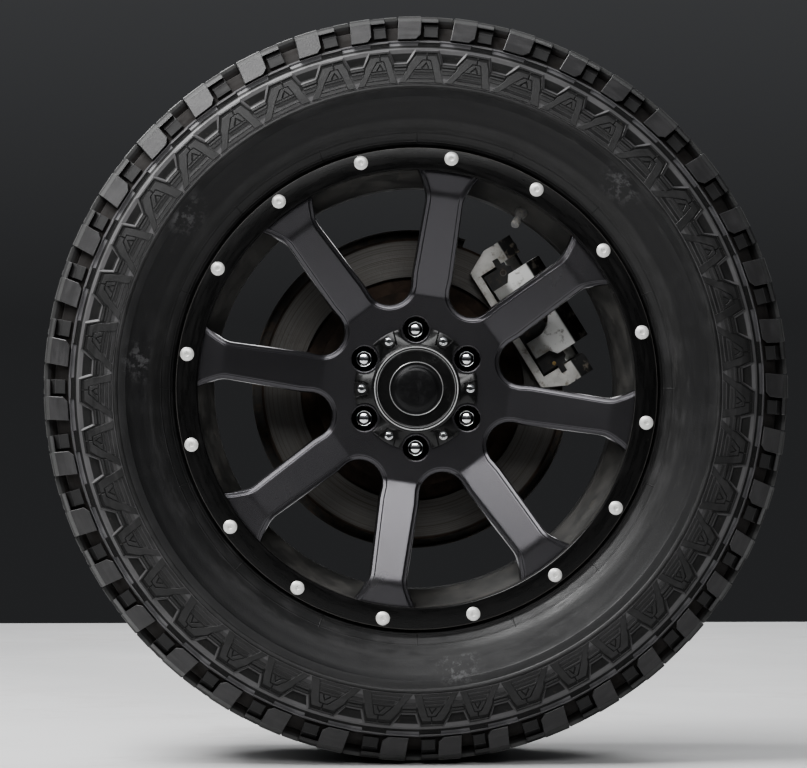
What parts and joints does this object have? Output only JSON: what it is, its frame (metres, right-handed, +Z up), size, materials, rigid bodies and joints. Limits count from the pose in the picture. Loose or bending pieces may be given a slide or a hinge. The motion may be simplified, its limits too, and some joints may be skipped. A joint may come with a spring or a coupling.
{
  "type": "off-road wheel with disc brake on its axle end",
  "caption": "Off-road tyre on a spoked black alloy wheel with a riveted lip ring, turning on a live axle end with its disc brake and sliding caliper.",
  "frame": {"origin": "centre of the inner end of the axle tube, on the wheel's axis", "axes": "+Y inboard along the wheel's axis, -Y to the street side, +Z up, +X to the right seen from the street side"},
  "size_m": [0.846, 0.4045, 0.8458],
  "materials": {
    "axle_paint": "satin black paint with dust",
    "bearing_steel": "ground steel",
    "plain_iron": "forged steel, lightly rusted",
    "bolt_steel": "zinc plated",
    "shield_paint": "dull black",
    "bracket_iron": "plated cast iron, worn silver grey",
    "lining": "rough friction material",
    "backing_paint": "black painted steel",
    "caliper_alloy": "plated casting, silver grey",
    "piston_steel": "chromed steel",
    "boot_rubber": "matt rubber",
    "brass_fitting": "dull brass",
    "disc_iron": "turned iron with light rust",
    "barrel_paint": "dark grey paint, dusty",
    "wheel_paint": "satin charcoal",
    "nut_chrome": "chromed",
    "ring_paint": "satin black",
    "rivet_steel": "bright plated",
    "cap_plastic": "gloss black",
    "badge_metal": "gloss black, plain",
    "valve_rubber": "matt rubber",
    "tyre_rubber": "dusty tyre rubber"
  },
  "bodies": {
    "axle_end": {"axle_tube": "axle_paint", "wheel_bearing": "bearing_steel", "bearing_retainer": "plain_iron", "flange_bolts": "bolt_steel", "dust_shield": "shield_paint", "caliper_bracket": "bracket_iron", "pad_linings": "lining", "pad_backings": "backing_paint", "caliper_body": "caliper_alloy", "caliper_piston": "piston_steel", "slide_pins": "bolt_steel", "pin_boots": "boot_rubber", "bleeder_screw": "brass_fitting"},
    "wheel": {"axle_shaft": "plain_iron", "wheel_studs": "bolt_steel", "brake_disc": "disc_iron", "wheel_barrel": "barrel_paint", "wheel_centre": "wheel_paint", "lug_nuts": "nut_chrome", "lip_ring": "ring_paint", "ring_rivets": "rivet_steel", "centre_cap": "cap_plastic", "cap_badge": "badge_metal", "valve_stem": "valve_rubber", "tyre": "tyre_rubber"}
  },
  "joints": [
    {"name": "wheel_spin", "type": "hinge", "parent": "axle_end", "child": "wheel", "pos_m": [0, -0.2475, 0], "axis": [0, 1, 0], "continuous": true}
  ]
}
